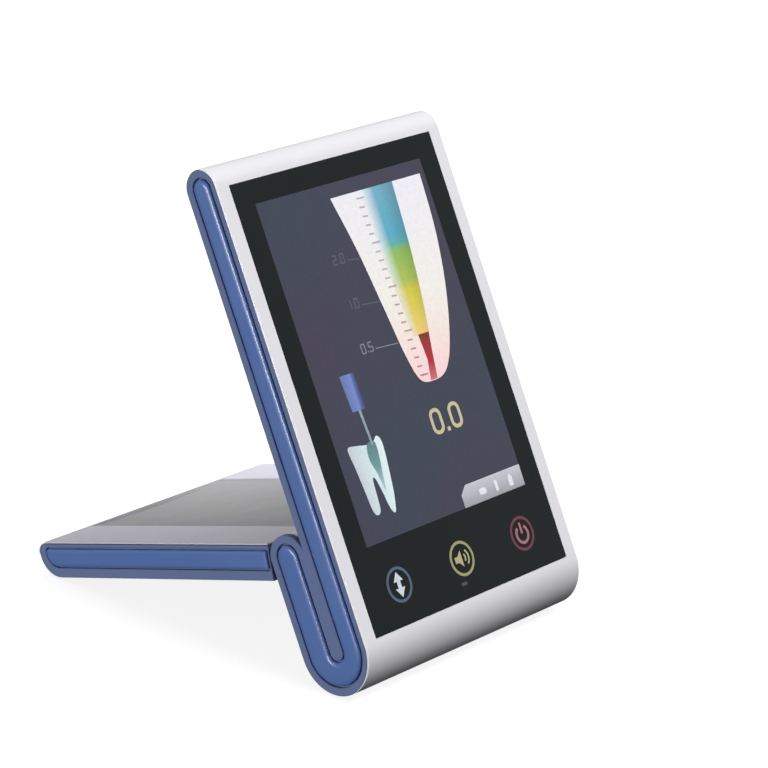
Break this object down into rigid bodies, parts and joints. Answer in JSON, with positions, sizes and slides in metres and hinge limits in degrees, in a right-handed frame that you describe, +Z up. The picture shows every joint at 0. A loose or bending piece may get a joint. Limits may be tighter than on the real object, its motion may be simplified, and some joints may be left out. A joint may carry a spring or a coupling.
{
  "type": "apex locator",
  "caption": "Folding dental apex locator: touch-screen display slab bent round into a thick lower housing, with a hinged flat stand that opens behind it as a table-top prop.",
  "frame": {"origin": "on the table top, at the centre of the footprint of the open unit", "axes": "+X to the right of a person facing the screen, +Y from the screen to the back where the stand reaches, +Z up"},
  "size_m": [0.099, 0.1296, 0.1405],
  "materials": {
    "white_shell": "smooth glossy white moulding",
    "grey_cover": "satin pale grey moulding",
    "blue_rim": "satin slate blue moulding",
    "blue_bar": "semi-gloss blue moulding",
    "black_glass": "polished black back-printed cover glass",
    "sensor_film": "laminated touch film",
    "lcd_glass": "glossy liquid crystal panel",
    "light_guide": "clear acrylic",
    "pressed_steel": "zinc-plated pressed steel",
    "pin_steel": "ground steel",
    "washer_bronze": "sprung bronze",
    "screw_steel": "nickel-plated screws",
    "nickel_plate": "nickel-plated brass sleeve",
    "circuit_board": "green solder mask",
    "black_plastic": "moulded black plastic",
    "battery_wrap": "heat-shrunk wrap",
    "grey_rubber": "soft matt rubber"
  },
  "bodies": {
    "display": {"front_housing": "white_shell", "rear_cover": "white_shell", "lower_housing": "white_shell", "base_pad": "grey_rubber", "cover_glass": "black_glass", "touch_sensor": "sensor_film", "lcd_panel": "lcd_glass", "light_guide": "light_guide", "backlight_tray": "pressed_steel", "main_board": "circuit_board", "processor_chip": "black_plastic", "shield_can": "pressed_steel", "memory_chip": "black_plastic", "battery_connector": "black_plastic", "battery_pack": "battery_wrap", "speaker": "black_plastic", "probe_socket": "nickel_plate", "charging_socket": "pressed_steel", "bracket_screw_1": "screw_steel", "bracket_screw_2": "screw_steel", "bracket_screw_3": "screw_steel", "bracket_screw_4": "screw_steel", "cover_screw_1": "screw_steel", "cover_screw_2": "screw_steel", "cover_screw_3": "screw_steel", "cover_screw_4": "screw_steel", "side_rim_left": "blue_rim", "side_bar_left": "blue_bar", "hinge_bracket_left": "pressed_steel", "hinge_pin_left": "pin_steel", "friction_washer_left": "washer_bronze", "side_rim_right": "blue_rim", "side_bar_right": "blue_bar", "hinge_bracket_right": "pressed_steel", "hinge_pin_right": "pin_steel", "friction_washer_right": "washer_bronze"},
    "stand": {"stand_shell": "white_shell", "stand_cover": "grey_cover", "stand_knuckle": "grey_cover", "stiffener_plate": "pressed_steel", "stand_screw_1": "screw_steel", "stand_screw_2": "screw_steel", "stand_screw_3": "screw_steel", "stand_screw_4": "screw_steel", "stand_screw_5": "screw_steel", "stand_screw_6": "screw_steel", "stand_pad": "grey_rubber", "stand_rim_left": "blue_rim", "stand_bar_left": "blue_bar", "hinge_leaf_left": "pressed_steel", "stand_rim_right": "blue_rim", "stand_bar_right": "blue_bar", "hinge_leaf_right": "pressed_steel"}
  },
  "joints": [
    {"name": "stand_hinge", "type": "hinge", "parent": "display", "child": "stand", "pos_m": [0, -0.0328, 0.03568], "axis": [1, 0, 0], "range_deg": [0, 78.8]}
  ]
}
